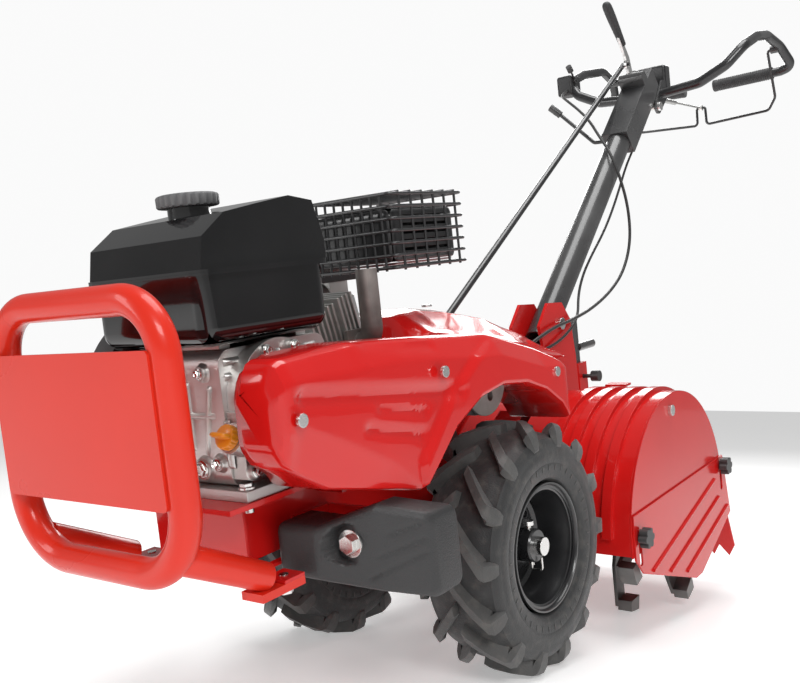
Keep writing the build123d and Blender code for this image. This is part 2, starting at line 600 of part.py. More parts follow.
def depth_stake():
    stake = block(STAKE_X - 5, STAKE_X + 5, STAKE_Y - 10, STAKE_Y + 10, -150, 250)
    stake += block(STAKE_X - 5, STAKE_X + 5, STAKE_Y - 50, STAKE_Y - 10, 240, 250)
    grip = bar((STAKE_X, STAKE_Y + 10, 188), (STAKE_X, STAKE_Y + 78, 188), 9)
    save("depth_stake", stake + grip)
    latch = disc_x(4, STAKE_X + 5.3, STAKE_X + 34, STAKE_Y, 130)
    latch += bar((STAKE_X + 34, STAKE_Y, 130), (STAKE_X + 50, STAKE_Y, 130), 11)
    save("stake_latch", latch)


# ---- handle -------------------------------------------------------------------------------------------
def along(t, side=0.0, lift=0.0):
    """Point t millimetres up the column from its foot, offset sideways and square to it."""
    run = (COLUMN_TOP - COLUMN_FOOT).normalized()
    square = Vector(0, -run.Z, run.Y)
    return COLUMN_FOOT + run * t + Vector(side, 0, 0) + square * lift


def column():
    length = (COLUMN_TOP - COLUMN_FOOT).length
    foot = Plane(origin=COLUMN_FOOT, x_dir=(1, 0, 0), z_dir=COLUMN_TOP - COLUMN_FOOT)
    low = (Align.CENTER, Align.CENTER, Align.MIN)
    tube = Cylinder(COLUMN_R, length, align=low) - Cylinder(COLUMN_R - 3, length, align=low)
    tube = Pos(0, 0, -40) * tube
    tube -= Rot(0, 90, 0) * Cylinder(6.1, 80)
    save("handle_column", foot * tube)
    ear = flat_x([(388, 190), (372, 262), (410, 300), (462, 296), (490, 262), (500, 190)], 25.6, 31.6)
    ear -= disc_x(6.1, 20, 40, COLUMN_FOOT.Y, COLUMN_FOOT.Z)
    base = block(-31.6, 31.6, 372, 500, 110, 191)
    base -= disc_x(HOOD_R + 0.2, -300, 300, TINE_Y, TINE_Z)
    save("column_bracket", base + ear + mirrored(ear))
    sleeve = Pos(0, 0, SLEEVE_T) * Box(56, 56, length + 7 - SLEEVE_T, align=low)
    lug = Pos(0, -EAR, COLUMN_T) * Rot(0, 90, 0) * Cylinder(12, 56)
    lug += Pos(0, -EAR / 2 - 12, COLUMN_T) * Box(56, EAR - 24, 24)
    sleeve = foot * (sleeve + lug - Cylinder(COLUMN_R + 0.02, length - 39.8, align=low))
    sleeve -= disc_x(6.05, -50, 50, BAR_Y, BAR_Z)
    horn = flat_x([(996, 742), (1014, 718), (1039, 758), (1039, 778), (1022, 779)], -27.9, -22)
    horn -= disc_x(5.05, -50, 50, SHIFT_Y, SHIFT_Z)
    stub = disc_x(6, -44, -27, LOCK_Y, LOCK_Z)
    save("column_head", sleeve + horn + stub)


def handlebar_points(side):
    return [
        (side * 30, 1030, 716), (side * 120, 1034, 724), (side * 178, 1044, 752), (side * 212, 1068, 790),
        (side * 214, 1160, 820), (side * 208, 1262, 836), (side * 216, 1340, 818), (side * 231, 1384, 772),
        (side * 202, GRIP_Y, 765), (side * 44, GRIP_Y, 761),
    ]


def handlebar():
    outline = [(991, 680), (1002, 671), (1014, 671), (1068, 712), (1068, 750), (1040, 748), (1014, 716)]
    plate = flat_x(outline, 28.6, 33)
    box = fillet(block(-34, 34, 1060, 1094, 722, 786).edges(), 6)
    tab = block(-12, 12, 1086, 1090, 702, 724) - bar((0, 1080, 715), (0, 1096, 715), 4.4)
    frame = plate + mirrored(plate) + box + tab
    housing = fillet(block(-232, -192, 1040, 1092, 758, 806).edges(), 6)
    for side in (-1, 1):
        tube = pipe(handlebar_points(side), [36, 36, 30, 26, 60, 40, 18, 9], BAR_R)
        frame += tube
        frame += disc_x(9, *sorted((side * 196, side * 214)), PIVOT_Y, PIVOT_Z)
        housing -= pipe(handlebar_points(side)[1:7], [36, 30, 26, 60], BAR_R + 0.05)
    frame -= disc_x(6.05, -50, 50, BAR_Y, BAR_Z) + disc_x(3.3, -207.3, 207.3, PIVOT_Y, PIVOT_Z)
    save("handlebar", frame)
    grips = []
    for side in (-1, 1):
        sleeve = bar((side * 184, GRIP_Y, 764.5), (side * 37, GRIP_Y, 760.8), GRIP_R)
        grips.append(sleeve - bar((side * 200, GRIP_Y, 764.95), (side * 43, GRIP_Y, 760.97), BAR_R + 0.05))
    save("hand_grips", *grips)
    save("throttle_housing", housing + disc_x(3, -196, -184.5, 1058, 792))
    lever = disc_x(7, -191.6, -187, 1058, 792) + bar((-189.3, 1054, 796), (-189.3, 1034, 815), 2.2)
    lever += bar((-189.3, 1037, 812), (-189.3, 1026, 823), 7)
    save("throttle_lever", lever - disc_x(3.05, -200, -180, 1058, 792))


def clutch_bail():
    half = [
        (207, PIVOT_Y, PIVOT_Z), (188, PIVOT_Y, PIVOT_Z), (188, 1376, 704), (168, 1384, 676), (12, 1384, 668),
        (11, 1384, 712), (0, 1384, 712),
    ]
    wire = pipe(half, [8, 20, 16, 9, 5], 3.2)
    save("clutch_bail", wire + mirrored(wire))
    eye = disc_x(7, -4, 4, 1384, 712) - disc_x(3.3, -6, 6, 1384, 712)
    link = bar((0, 1377.4, 712.1), (0, 1056, 715), 2.2)
    spring = bar((0, 1200, 713.5), (0, 1130, 714.3), 5.5)
    save("clutch_link", eye + link + spring)


def shift():
    stem = flat_x([(1021, 766), (1039, 768), (1024, 812), (984, 858), (975, 850), (1003, 812)], -39.3, -33.3)
    stem += disc_x(10, -39.3, -33.3, SHIFT_Y, SHIFT_Z) + disc_x(12, -39.3, -33.3, ROD_Y, ROD_Z)
    stem -= disc_x(5.05, -60, 0, SHIFT_Y, SHIFT_Z) + disc_x(6.2, -60, 0, ROD_Y, ROD_Z)
    grip = bar((LEVER_X, 1000, 836), (LEVER_X, 922, 921), 11)
    grip = fillet(grip.edges(), 4)
    save("shift_lever", stem)
    save("shift_grip", grip - stem)
    rod = bar((ROD_X, ROD_Y, ROD_Z), (ROD_X, 160, 277), 6)
    save("shift_rod", rod + disc_x(4, ROD_X - 4, -31, ROD_Y, ROD_Z))


def lock_lever():
    hub = disc_x(11, -40, -30, LOCK_Y, LOCK_Z) - disc_x(6.05, -60, -20, LOCK_Y, LOCK_Z)
    arm = pipe([(-35, 854, 613), (-58, 852, 614), (-130, 850, 685), (-150, 843, 705)], [10, 12], 4)
    tip = bar((-132, 849, 687), (-152, 842, 707), 8)
    save("lock_lever", hub + (arm - disc_x(6.05, -60, -20, LOCK_Y, LOCK_Z)) + tip)


THROTTLE_CABLE = [
    (-206, 1038, 768), (-194, 980, 752), (-156, 932, 730), (-108, 892, 697), (-62, 846, 662),
    (-24, 806, 620), (14, 764, 584), (36, 756, 530), (46, 764, 462), (50, 752, 392), (50, 706, 334),
    (49, 636, 298), (47, 554, 274), (45, 474, 262), (43, 400, 256), (34, 344, 240), (22, 302, 222),
]
CLUTCH_CABLE = [
    (0, 1054, 706), (1, 1004, 662), (3, 958, 622), (5, 908, 590), (8, 856, 552), (10, 808, 504),
    (10, 756, 452), (10, 704, 410), (11, 650, 376), (12, 600, 340), (20, 554, 302), (36, 514, 262),
    (41, 456, 238), (38, 396, 222), (26, 344, 218), (10, 306, 214),
]


def arc_radii(points):
    """Largest arc at each corner that both of its runs allow."""
    radii = []
    for before, here, after in zip(points, points[1:], points[2:]):
        first = Vector(*here) - Vector(*before)
        second = Vector(*after) - Vector(*here)
        turn = math.radians(first.get_angle(second))
        radii.append(0.45 * min(first.length, second.length) / math.tan(turn / 2))
    return radii


def cables():
    for name, points, radius in (("throttle_cable", THROTTLE_CABLE, 3.0), ("clutch_cable", CLUTCH_CABLE, 2.5)):
        radii = arc_radii(points)
        tube = pipe(points, radii, radius)
        length = tube.volume / (math.pi * radius ** 2)
        print(name, "length", round(length), "radii", [round(r) for r in radii])
        save(name, tube)


if __name__ == "__main__":
    bumper()
    engine_bed()
    crossbeam()
    weights()
    crankcase()
    cylinder_and_head()
    port_point, muffler_z = exhaust()
    guard(muffler_z)
    far_side_of_engine()
    tank()
    filler_plug()
    belt_drive()
    covers()
    gear_case()
    wheels()
    tines()
    hood()
    flap()
    depth_stake()
    column()
    handlebar()
    clutch_bail()
    shift()
    lock_lever()
    cables()
    print(len(made), "sub-parts")
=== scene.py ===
import json
import math

import bmesh
import bpy
from mathutils import Matrix, Vector


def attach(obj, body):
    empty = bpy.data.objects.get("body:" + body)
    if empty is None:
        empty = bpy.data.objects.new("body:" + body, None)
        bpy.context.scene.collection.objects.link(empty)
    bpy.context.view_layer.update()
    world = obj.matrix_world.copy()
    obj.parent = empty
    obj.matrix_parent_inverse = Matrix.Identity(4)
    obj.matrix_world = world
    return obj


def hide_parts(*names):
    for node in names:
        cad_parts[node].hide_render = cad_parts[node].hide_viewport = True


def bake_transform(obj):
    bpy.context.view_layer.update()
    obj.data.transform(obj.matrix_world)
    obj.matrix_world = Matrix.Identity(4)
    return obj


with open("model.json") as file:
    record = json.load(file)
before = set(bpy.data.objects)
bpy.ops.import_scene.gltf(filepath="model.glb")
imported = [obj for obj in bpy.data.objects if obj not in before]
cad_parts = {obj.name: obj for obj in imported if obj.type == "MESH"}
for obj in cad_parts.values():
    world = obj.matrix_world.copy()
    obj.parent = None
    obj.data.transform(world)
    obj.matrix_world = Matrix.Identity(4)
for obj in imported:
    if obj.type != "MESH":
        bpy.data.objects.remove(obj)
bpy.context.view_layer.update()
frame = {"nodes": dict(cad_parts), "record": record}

scene = bpy.context.scene
nodes = frame["nodes"]

# The level frame of the CAD: millimetres, wheel axle at the origin, engine base level.
# LEVEL tips it nose-down onto the ground and turns it into metres.
PITCH = math.radians(10)
LEVEL = Matrix.Translation((0, 0, 0.17)) @ Matrix.Rotation(PITCH, 4, "X") @ Matrix.Scale(0.001, 4)


def level(point):
    return LEVEL @ Vector(point)


# ---- camera and cords ----------------------------------------------------------------------------
def make_camera():
    data = bpy.data.cameras.new("camera")
    data.lens = 41.74
    data.sensor_width = 36.0
    camera = bpy.data.objects.new("camera", data)
    scene.collection.objects.link(camera)
    camera.location = (0.837, -1.125, 0.386)
    forward = Vector((-0.611, 0.7906, 0.049))
    camera.rotation_euler = forward.to_track_quat("-Z", "Y").to_euler()
    scene.camera = camera


THROTTLE_CABLE = [
    (-206, 1038, 768), (-194, 980, 752), (-156, 932, 730), (-108, 892, 697), (-62, 846, 662),
    (-24, 806, 620), (14, 764, 584), (36, 756, 530), (46, 764, 462), (50, 752, 392), (50, 706, 334),
    (49, 636, 298), (47, 554, 274), (45, 474, 262), (43, 400, 256), (34, 344, 240), (22, 302, 222),
]
CLUTCH_CABLE = [
    (0, 1054, 706), (1, 1004, 662), (3, 958, 622), (5, 908, 590), (8, 856, 552), (10, 808, 504),
    (10, 756, 452), (10, 704, 410), (11, 650, 376), (12, 600, 340), (20, 554, 302), (36, 514, 262),
    (41, 456, 238), (38, 396, 222), (26, 344, 218), (10, 306, 214),
]


def make_cable(name, points, diameter, node):
    curve = bpy.data.curves.new(name, "CURVE")
    curve.dimensions = "3D"
    spline = curve.splines.new("NURBS")
    spline.points.add(len(points) - 1)
    for target, point in zip(spline.points, points):
        target.co = (*level(point), 1)
    spline.order_u = 3
    spline.use_endpoint_u = True
    spline.resolution_u = 12
    curve.bevel_depth = diameter / 2
    curve.bevel_resolution = 5
    curve.use_fill_caps = True
    cable = bpy.data.objects.new(name, curve)
    scene.collection.objects.link(cable)
    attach(cable, "chassis")
    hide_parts(node)
    return cable


make_camera()
throttle_cord = make_cable("throttle_cable_sheath", THROTTLE_CABLE, 0.006, "throttle_cable")
clutch_cord = make_cable("clutch_cable_sheath", CLUTCH_CABLE, 0.005, "clutch_cable")


# ---- materials -----------------------------------------------------------------------------------
def make_material(name, color, rough, metallic=0.0, coat=0.0, grain=600.0, bump=0.12, depth=0.0003,
                  mottle=9.0, shift=0.16, wear=None, wear_amount=0.5, stretch=(1, 1, 1), cells=0.0,
                  dust=0.0, bevel=0.0, sheen=0.0, specular=0.5):
    """Surface with fine relief, slow colour and gloss variation, and worn or dusty places."""
    material = bpy.data.materials.new(name)
    material.use_nodes = True
    tree = material.node_tree
    links = tree.links
    shader = tree.nodes["Principled BSDF"]
    shader.inputs["Metallic"].default_value = metallic
    shader.inputs["Coat Weight"].default_value = coat
    shader.inputs["Specular IOR Level"].default_value = specular
    shader.inputs["Coat Roughness"].default_value = 0.04
    shader.inputs["Sheen Weight"].default_value = sheen
    place = tree.nodes.new("ShaderNodeTexCoord")
    mapping = tree.nodes.new("ShaderNodeMapping")
    mapping.inputs["Scale"].default_value = stretch
    links.new(place.outputs["Object"], mapping.inputs["Vector"])

    slow = tree.nodes.new("ShaderNodeTexNoise")
    slow.inputs["Scale"].default_value = mottle
    slow.inputs["Detail"].default_value = 5.0
    links.new(place.outputs["Object"], slow.inputs["Vector"])
    fine = tree.nodes.new("ShaderNodeTexNoise")
    fine.inputs["Scale"].default_value = grain
    fine.inputs["Detail"].default_value = 4.0
    links.new(mapping.outputs["Vector"], fine.inputs["Vector"])

    tint = tree.nodes.new("ShaderNodeValToRGB")
    tint.color_ramp.elements[0].position = 0.3
    tint.color_ramp.elements[1].position = 0.72
    tint.color_ramp.elements[0].color = (*[c * (1 - shift) for c in color], 1)
    tint.color_ramp.elements[1].color = (*[min(1, c * (1 + shift) + 0.004) for c in color], 1)
    links.new(slow.outputs["Fac"], tint.inputs["Fac"])
    base = tint.outputs["Color"]

    if wear:
        geometry = tree.nodes.new("ShaderNodeNewGeometry")
        edge = tree.nodes.new("ShaderNodeMapRange")
        edge.inputs["From Min"].default_value = 0.53
        edge.inputs["From Max"].default_value = 0.62
        links.new(geometry.outputs["Pointiness"], edge.inputs["Value"])
        spots = tree.nodes.new("ShaderNodeMath")
        spots.operation = "MULTIPLY"
        links.new(edge.outputs["Result"], spots.inputs[0])
        links.new(slow.outputs["Fac"], spots.inputs[1])
        amount = tree.nodes.new("ShaderNodeMath")
        amount.operation = "MULTIPLY"
        amount.inputs[1].default_value = wear_amount * 2
        links.new(spots.outputs["Value"], amount.inputs[0])
        mix = tree.nodes.new("ShaderNodeMix")
        mix.data_type = "RGBA"
        mix.inputs["B"].default_value = (*wear, 1)
        links.new(amount.outputs["Value"], mix.inputs["Factor"])
        links.new(base, mix.inputs["A"])
        base = mix.outputs["Result"]
    if dust:
        speck = tree.nodes.new("ShaderNodeTexNoise")
        speck.inputs["Scale"].default_value = mottle * 5
        speck.inputs["Detail"].default_value = 8.0
        links.new(place.outputs["Object"], speck.inputs["Vector"])
        level_map = tree.nodes.new("ShaderNodeMapRange")
        level_map.inputs["From Min"].default_value = 0.5
        level_map.inputs["From Max"].default_value = 0.8
        level_map.inputs["To Max"].default_value = dust
        links.new(speck.outputs["Fac"], level_map.inputs["Value"])
        mix = tree.nodes.new("ShaderNodeMix")
        mix.data_type = "RGBA"
        mix.inputs["B"].default_value = (0.30, 0.27, 0.23, 1)
        links.new(level_map.outputs["Result"], mix.inputs["Factor"])
        links.new(base, mix.inputs["A"])
        base = mix.outputs["Result"]
    links.new(base, shader.inputs["Base Color"])

    gloss = tree.nodes.new("ShaderNodeMapRange")
    gloss.inputs["From Min"].default_value = 0.3
    gloss.inputs["From Max"].default_value = 0.7
    gloss.inputs["To Min"].default_value = max(0.02, rough * 0.8)
    gloss.inputs["To Max"].default_value = min(1.0, rough * 1.22)
    links.new(slow.outputs["Fac"], gloss.inputs["Value"])
    links.new(gloss.outputs["Result"], shader.inputs["Roughness"])

    relief = tree.nodes.new("ShaderNodeBump")
    relief.inputs["Strength"].default_value = bump
    relief.inputs["Distance"].default_value = depth
    height = fine.outputs["Fac"]
    if cells:
        pits = tree.nodes.new("ShaderNodeTexVoronoi")
        pits.inputs["Scale"].default_value = cells
        links.new(mapping.outputs["Vector"], pits.inputs["Vector"])
        both = tree.nodes.new("ShaderNodeMath")
        both.operation = "ADD"
        links.new(pits.outputs["Distance"], both.inputs[0])
        links.new(height, both.inputs[1])
        height = both.outputs["Value"]
    links.new(height, relief.inputs["Height"])
    if bevel:
        soften = tree.nodes.new("ShaderNodeBevel")
        soften.samples = 4
        soften.inputs["Radius"].default_value = bevel
        links.new(soften.outputs["Normal"], relief.inputs["Normal"])
    links.new(relief.outputs["Normal"], shader.inputs["Normal"])
    return material


ORANGE = (0.66, 0.024, 0.009)
RED = (0.58, 0.008, 0.007)
RECIPES = {
    "orange_paint": dict(color=ORANGE, rough=0.3, coat=0.25, specular=0.25, grain=380, bump=0.06, shift=0.05,
                         mottle=5),
    "red_paint": dict(color=RED, rough=0.2, coat=0.35, specular=0.25, grain=380, bump=0.06, shift=0.06,
                      mottle=5),
    "red_cover": dict(color=RED, rough=0.16, coat=0.45, specular=0.25, grain=300, bump=0.04, shift=0.05,
                      mottle=4),
    "black_paint": dict(color=(0.012, 0.012, 0.013), rough=0.3, coat=0.35, grain=500, bump=0.14, shift=0.3,
                        wear=(0.09, 0.09, 0.09)),
    "cast_black": dict(color=(0.028, 0.028, 0.029), rough=0.5, grain=420, bump=0.5, depth=0.0006, shift=0.25,
                       cells=520, wear=(0.13, 0.13, 0.13), wear_amount=0.35),
    "gear_casting": dict(color=(0.03, 0.03, 0.03), rough=0.5, grain=260, bump=0.5, depth=0.0006, cells=300),
    "aluminium": dict(color=(0.56, 0.55, 0.53), rough=0.36, metallic=0.85, grain=700, bump=0.4, depth=0.0004,
                      shift=0.14, cells=900, wear=(0.85, 0.85, 0.84)),
    "steel": dict(color=(0.62, 0.61, 0.59), rough=0.24, metallic=1.0, grain=320, bump=0.14, shift=0.12,
                  stretch=(1, 1, 8), wear=(0.9, 0.9, 0.9)),
    "exhaust_steel": dict(color=(0.17, 0.15, 0.14), rough=0.45, metallic=0.6, grain=300, bump=0.3, shift=0.4,
                          mottle=26, wear=(0.4, 0.38, 0.36)),
    "black_plastic": dict(color=(0.016, 0.016, 0.017), rough=0.42, grain=900, bump=0.25, depth=0.0002,
                          cells=1400, shift=0.2, wear=(0.07, 0.07, 0.07)),
    "tank_black": dict(color=(0.004, 0.004, 0.0045), rough=0.08, coat=0.5, specular=0.3, grain=240, bump=0.03,
                       shift=0.2),
    "grey_plastic": dict(color=(0.085, 0.085, 0.088), rough=0.5, grain=700, bump=0.3, depth=0.0002,
                         shift=0.15, wear=(0.2, 0.2, 0.2)),
    "orange_plastic": dict(color=(0.84, 0.30, 0.015), rough=0.34, coat=0.3, grain=500, bump=0.1, shift=0.1),
    "rubber": dict(color=(0.014, 0.014, 0.014), rough=0.5, grain=900, bump=0.3, shift=0.25, sheen=0.1),
    "tyre": dict(color=(0.017, 0.0175, 0.018), rough=0.55, grain=330, bump=0.45, depth=0.0006, shift=0.3,
                 mottle=14, dust=0.16, cells=700, sheen=0.15, wear=(0.09, 0.088, 0.085), wear_amount=0.6),
    "tine_steel": dict(color=(0.02, 0.02, 0.02), rough=0.4, metallic=0.3, grain=260, bump=0.4, shift=0.4,
                       wear=(0.3, 0.29, 0.28), dust=0.12),
    "grip_rubber": dict(color=(0.02, 0.02, 0.021), rough=0.55, grain=1100, bump=0.4, cells=1500, shift=0.2,
                        sheen=0.2),
}
NO_EDGE = {"orange_paint", "tank_black"}
cad_materials = {}
own_materials = {}
for slot_name, recipe in RECIPES.items():
    own_materials[slot_name] = make_material(slot_name, **recipe)
    bevel = 0.0 if slot_name in NO_EDGE else 0.0012
    cad_materials[slot_name] = make_material(slot_name + "_cad", bevel=bevel, **recipe)
slot_of = {part["node"]: part["material_slot"] for part in frame["record"]["subparts"]}
for node_name, obj in nodes.items():
    obj.data.materials.clear()
    obj.data.materials.append(cad_materials[slot_of[node_name]])
for node_name in ("driven_pulley", "engine_pulley"):
    nodes[node_name].data.materials[0] = cad_materials["exhaust_steel"]
for cable in (throttle_cord, clutch_cord):
    cable.data.materials.append(own_materials["rubber"])


# ---- mesh helpers --------------------------------------------------------------------------------
def finish_piece(name, mesh, slot_name, body, replaced=(), smooth=40.0):
    """Turn a mesh from the level frame into the row frame and make it an object under its name."""
    mesh.transform(LEVEL)
    mesh.update()
    obj = bpy.data.objects.new(name, mesh)
    scene.collection.objects.link(obj)
    for polygon in mesh.polygons:
        polygon.use_smooth = True
    mesh.set_sharp_from_angle(angle=math.radians(smooth))
    mesh.materials.append(own_materials[slot_name])
    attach(obj, body)
    if replaced:
        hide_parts(*replaced)
    return obj


def bmesh_to_mesh(name, bm):
    bmesh.ops.recalc_face_normals(bm, faces=bm.faces)
    mesh = bpy.data.meshes.new(name)
    bm.to_mesh(mesh)
    bm.free()
    return mesh


def add_rings(bm, rings, closed=True):
    """Skin between rings of equal length; closed rings are capped at both ends."""
    loops = [[bm.verts.new(p) for p in ring] for ring in rings]
    count = len(loops[0])
    spans = count if closed else count - 1
    for first, second in zip(loops, loops[1:]):
        for i in range(spans):
            j = (i + 1) % count
            bm.faces.new((first[i], first[j], second[j], second[i]))
    if closed:
        bm.faces.new(loops[0][::-1])
        bm.faces.new(loops[-1])


def lathe_x(bm, profile, segments):
    """Revolve a closed (x, r) profile about the X axis."""
    rings = []
    for step in range(segments):
        angle = 2 * math.pi * step / segments
        c, s = math.cos(angle), math.sin(angle)
        rings.append([(x, r * c, r * s) for x, r in profile])
    loops = [[bm.verts.new(p) for p in ring] for ring in rings]
    count = len(profile)
    for k in range(segments):
        first, second = loops[k], loops[(k + 1) % segments]
        for i in range(count):
            j = (i + 1) % count
            bm.faces.new((first[i], first[j], second[j], second[i]))


def lathe_along(bm, start, end, profile, segments=40):
    """Revolve a (t, r) profile, t in millimetres from start towards end."""
    start, end = Vector(start), Vector(end)
    turn = (end - start).to_track_quat("Z", "Y").to_matrix()
    rings = []
    for t, r in profile:
        ring = []
        for step in range(segments):
            angle = 2 * math.pi * step / segments
            ring.append(start + turn @ Vector((r * math.cos(angle), r * math.sin(angle), t)))
        rings.append(ring)
    add_rings(bm, rings)


def interpolate(table, value):
    """Linear look-up in a list of (key, value) pairs sorted by key."""
    if value <= table[0][0]:
        return table[0][1]
    for (k0, v0), (k1, v1) in zip(table, table[1:]):
        if value <= k1:
            return v0 + (v1 - v0) * (value - k0) / (k1 - k0)
    return table[-1][1]


def ease(value):
    value = max(0.0, min(1.0, value))
    return value * value * (3 - 2 * value)


def mirror_mesh(mesh):
    """Copy of a mesh on the other side of the machine."""
    copy = mesh.copy()
    copy.transform(Matrix.Scale(-1, 4, (1, 0, 0)))
    copy.flip_normals()
    return copy


# ---- wheels --------------------------------------------------------------------------------------
WHEEL_X = 171.0
TYRE_LUGS = 14
BEAD_TICKS = 40
WHEEL_BOLTS = 5
BOLT_CIRCLE = 50


def tyre_surface(x):
    """Radius of the smooth carcass at x millimetres from the wheel's middle."""
    return 156.0 - 9.0 * (abs(x) / 46.0) ** 3


def tyre_mesh():
    bm = bmesh.new()
    side = [(47, 91), (50, 92), (53, 95), (54.5, 100), (55.5, 106), (56.2, 112), (55.9, 113.5), (56.6, 115),
            (56.6, 126), (56.0, 127.5), (55.8, 132), (54.6, 138), (52.5, 143), (49.5, 146.5), (46, 147.2)]
    crown = [(x, tyre_surface(x)) for x in range(40, -41, -5)]
    outer = side + crown + [(-x, r) for x, r in reversed(side)]
    inner = [(-44, 90), (-40, 88), (40, 88), (44, 90)]
    lathe_x(bm, outer + inner, segments=144)
    for sign in (1, -1):
        for step in range(TYRE_LUGS):
            base = 2 * math.pi * (step + (0.5 if sign < 0 else 0.0)) / TYRE_LUGS
            rings = []
            for x, top, half in ((1, 168.2, 6.6), (6, 169.7, 6.8), (26, 169.6, 7.4), (45, 168.4, 8.4),
                                 (51, 164.5, 9.0), (54.8, 156, 9.4), (56.6, 146, 8.6), (56.9, 138, 6.0)):
                sweep = 0.30 * min(x, 48) / 48 * 1.15
                root = tyre_surface(min(x, 46)) - 3 if x < 50 else top - 8
                ring = []
                for r, w in ((root, half + 3.5), (top, half), (top, -half), (root, -half - 3.5)):
                    angle = base + sweep + w / 160
                    depth = x if x < 50 or r == top else x - 6
                    ring.append((sign * depth, r * math.cos(angle), r * math.sin(angle)))
                rings.append(ring)
            add_rings(bm, rings)
    for sign in (1, -1):
        for step in range(BEAD_TICKS):
            angle = 2 * math.pi * (step + 0.3) / BEAD_TICKS
            c, s = math.cos(angle), math.sin(angle)
            ring0 = [(sign * 55.2, 104 * c - w * s, 104 * s + w * c) for w in (-0.7, 0.7)]
            ring1 = [(sign * 56.3, 111 * c - w * s, 111 * s + w * c) for w in (-0.7, 0.7)]
            quad = ring0 + ring1[::-1]
            lifted = [(p[0] + sign * 0.7, p[1], p[2]) for p in quad]
            add_rings(bm, [quad, lifted])
    return bmesh_to_mesh("tyre", bm)


def rim_mesh():
    bm = bmesh.new()
    shell = [(51, 86.8), (51.2, 84.5), (49.5, 83), (46.5, 82.4), (44.8, 80), (44, 76.5), (38, 75.5), (30, 72),
             (6, 70.5), (-4, 68), (-8, 63), (-8.5, 50), (-7.6, 40), (-6, 31), (-6, 26), (-5, 23.4), (2, 23),
             (31, 22.8), (33.6, 21), (34, 12.6), (-46, 12.6), (-46, 22.5), (-44, 23), (-15, 23.4), (-13, 30),
             (-13.8, 60), (-16, 68), (-20, 72.5), (-38, 73.5), (-44, 75), (-46.5, 80.5), (-50, 83.4),
             (-51.2, 85), (-51, 86.8), (-47.2, 86.8), (-46.9, 79), (46.9, 79), (47.2, 86.8)]
    lathe_x(bm, shell, segments=112)
    wheel_bolt = [(0, 9.5), (2.6, 9.5), (3.4, 8.6), (3.4, 5.4), (0.4, 5.0)]
    for step in range(WHEEL_BOLTS):
        angle = math.radians(360 / WHEEL_BOLTS * step + 36)
        c, s = BOLT_CIRCLE * math.cos(angle), BOLT_CIRCLE * math.sin(angle)
        lathe_along(bm, (-9.5, c, s), (30, c, s), wheel_bolt, 24)
    return bmesh_to_mesh("rim", bm)


tyre_base = tyre_mesh()
rim_base = rim_mesh()
shift_out = Matrix.Translation((WHEEL_X, 0, 0))
wheel_pieces = (
    (tyre_base, "tyre", "tyre", "tyres"),
    (rim_base, "rim", "black_paint", "wheel_rims"),
)
for base, part, slot_name, node in wheel_pieces:
    left = base.copy()
    left.transform(shift_out)
    right = mirror_mesh(left)
    finish_piece("left_" + part + "_detail", left, slot_name, "drive_wheels", [node], smooth=32)
    finish_piece("right_" + part + "_detail", right, slot_name, "drive_wheels", smooth=32)


# ---- belt cover ----------------------------------------------------------------------------------
# (y, z) outlines of the cover in the level frame
COVER_TOP = [(-452, 300), (-444, 318), (-436, 323), (-320, 325), (-200, 315), (-50, 300), (60, 267),
             (100, 249), (126, 236)]
COVER_BOTTOM = [(-452, 232), (-440, 216), (-375, 176), (-238, 140), (-212, 160), (-166, 197), (-105, 223),
                (-50, 230), (10, 222), (62, 203), (104, 176), (123, 152), (126, 150)]
COVER_RIDGE = [(-452, 240), (-428, 257), (-365, 226), (-288, 184), (-239, 141), (-200, 150)]
COVER_OUT = 207.6
COVER_IN = 106.4


def near_line(y, z, start, end, width, strength):
    """Depth of a soft groove running between two (y, z) points."""
    along = Vector((end[0] - start[0], end[1] - start[1]))
    offset = Vector((y - start[0], z - start[1]))
    share = max(0.0, min(1.0, offset.dot(along) / along.length_squared))
    gap = (offset - along * share).length
    return strength * ease(1 - gap / width)


def cover_depth(y, z, top):
    """Outward position of the belt cover's side at a point of its outline plane."""
    x = COVER_OUT
    # upper bevel leaning inwards above the shoulder line
    shoulder = top - interpolate([(-452, 22), (-330, 30), (-250, 26), (-100, 30), (60, 30), (126, 10)], y)
    if z > shoulder:
        x -= 0.62 * (z - shoulder)
    # lower facet turning in below the ridge
    ridge = interpolate(COVER_RIDGE, y)
    if y < -238 and z < ridge:
        x -= 0.34 * (ridge - z)
    if y < -365:
        x -= 3.0 * ease((-365 - y) / 70)
    # raised band that follows the wheel arch, and the hollow ahead of it
    arch = interpolate(COVER_BOTTOM, y)
    if y > -236:
        band = 24 + 0.16 * (y + 236)
        x += 1.5 - 8.0 * ease((z - arch - band) / 14) * ease((30 - y) / 120)
    else:
        x -= 6.5 * ease((y + 452) / 90)
    x -= near_line(y, z, (-415, 281), (-150, 240), 15, 6.0)
    x -= near_line(y, z, (-296, 247), (-214, 229), 9, 4.0)
    x -= near_line(y, z, (-318, 229), (-225, 203), 9, 4.0)
    x -= near_line(y, z, (-300, 318), (-180, 300), 8, 2.5)
    return x


